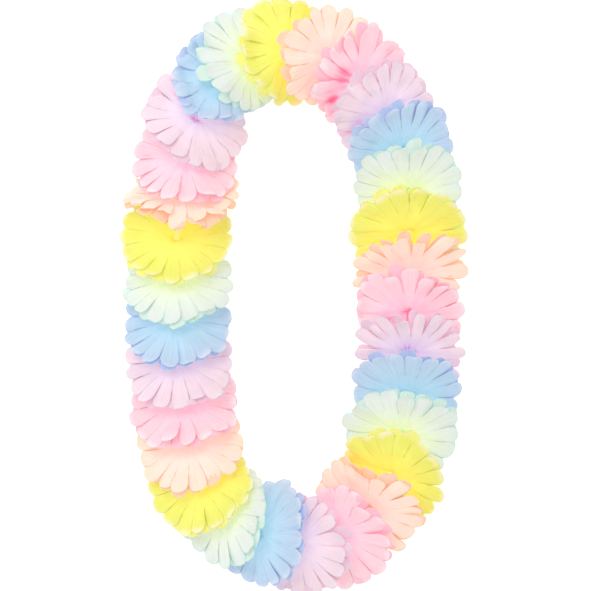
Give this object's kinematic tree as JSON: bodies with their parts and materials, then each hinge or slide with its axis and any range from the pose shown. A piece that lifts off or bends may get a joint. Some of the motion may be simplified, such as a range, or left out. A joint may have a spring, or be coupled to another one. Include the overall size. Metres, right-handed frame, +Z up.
{
  "type": "fabric flower lei",
  "caption": "Closed oval garland of pastel fabric blooms threaded on a knotted cord, each a double wheel of round petals leaning over the next, laid flat as a wearable necklace.",
  "frame": {"origin": "middle of the lei's outline, on the surface that it lies on", "axes": "+Z up from the surface, +Y along the long way of the oval, +X across it"},
  "size_m": [0.2637, 0.4574, 0.0585],
  "materials": {
    "petals_blue": "matt woven polyester, dyed blue, paler at the petal tips",
    "petals_mint": "matt woven polyester, dyed mint, paler at the petal tips",
    "petals_yellow": "matt woven polyester, dyed yellow, paler at the petal tips",
    "petals_peach": "matt woven polyester, dyed peach, paler at the petal tips",
    "petals_pink": "matt woven polyester, dyed pink, paler at the petal tips",
    "petals_lilac": "matt woven polyester, dyed lilac, paler at the petal tips",
    "cord": "twisted white cotton cord",
    "spacer_tube": "milky drinking-straw plastic"
  },
  "bodies": {
    "root": {"bloom_01_blue": "petals_blue", "bloom_02_mint": "petals_mint", "bloom_03_yellow": "petals_yellow", "bloom_04_peach": "petals_peach", "bloom_05_pink": "petals_pink", "bloom_06_lilac": "petals_lilac", "bloom_07_blue": "petals_blue", "bloom_08_mint": "petals_mint", "bloom_09_yellow": "petals_yellow", "bloom_10_peach": "petals_peach", "bloom_11_pink": "petals_pink", "bloom_12_lilac": "petals_lilac", "bloom_13_blue": "petals_blue", "bloom_14_mint": "petals_mint", "bloom_15_yellow": "petals_yellow", "bloom_16_peach": "petals_peach", "bloom_17_pink": "petals_pink", "bloom_18_lilac": "petals_lilac", "bloom_19_blue": "petals_blue", "bloom_20_mint": "petals_mint", "bloom_21_yellow": "petals_yellow", "bloom_22_peach": "petals_peach", "bloom_23_pink": "petals_pink", "bloom_24_lilac": "petals_lilac", "bloom_25_blue": "petals_blue", "bloom_26_mint": "petals_mint", "bloom_27_yellow": "petals_yellow", "bloom_28_peach": "petals_peach", "bloom_29_pink": "petals_pink", "bloom_30_lilac": "petals_lilac", "cord_with_knot": "cord", "spacer_01": "spacer_tube", "spacer_02": "spacer_tube", "spacer_03": "spacer_tube", "spacer_04": "spacer_tube", "spacer_05": "spacer_tube", "spacer_06": "spacer_tube", "spacer_07": "spacer_tube", "spacer_08": "spacer_tube", "spacer_09": "spacer_tube", "spacer_10": "spacer_tube", "spacer_11": "spacer_tube", "spacer_12": "spacer_tube", "spacer_13": "spacer_tube", "spacer_14": "spacer_tube", "spacer_15": "spacer_tube", "spacer_16": "spacer_tube", "spacer_17": "spacer_tube", "spacer_18": "spacer_tube", "spacer_19": "spacer_tube", "spacer_20": "spacer_tube", "spacer_21": "spacer_tube", "spacer_22": "spacer_tube", "spacer_23": "spacer_tube", "spacer_24": "spacer_tube", "spacer_25": "spacer_tube", "spacer_26": "spacer_tube", "spacer_27": "spacer_tube", "spacer_28": "spacer_tube", "spacer_29": "spacer_tube"}
  },
  "joints": []
}
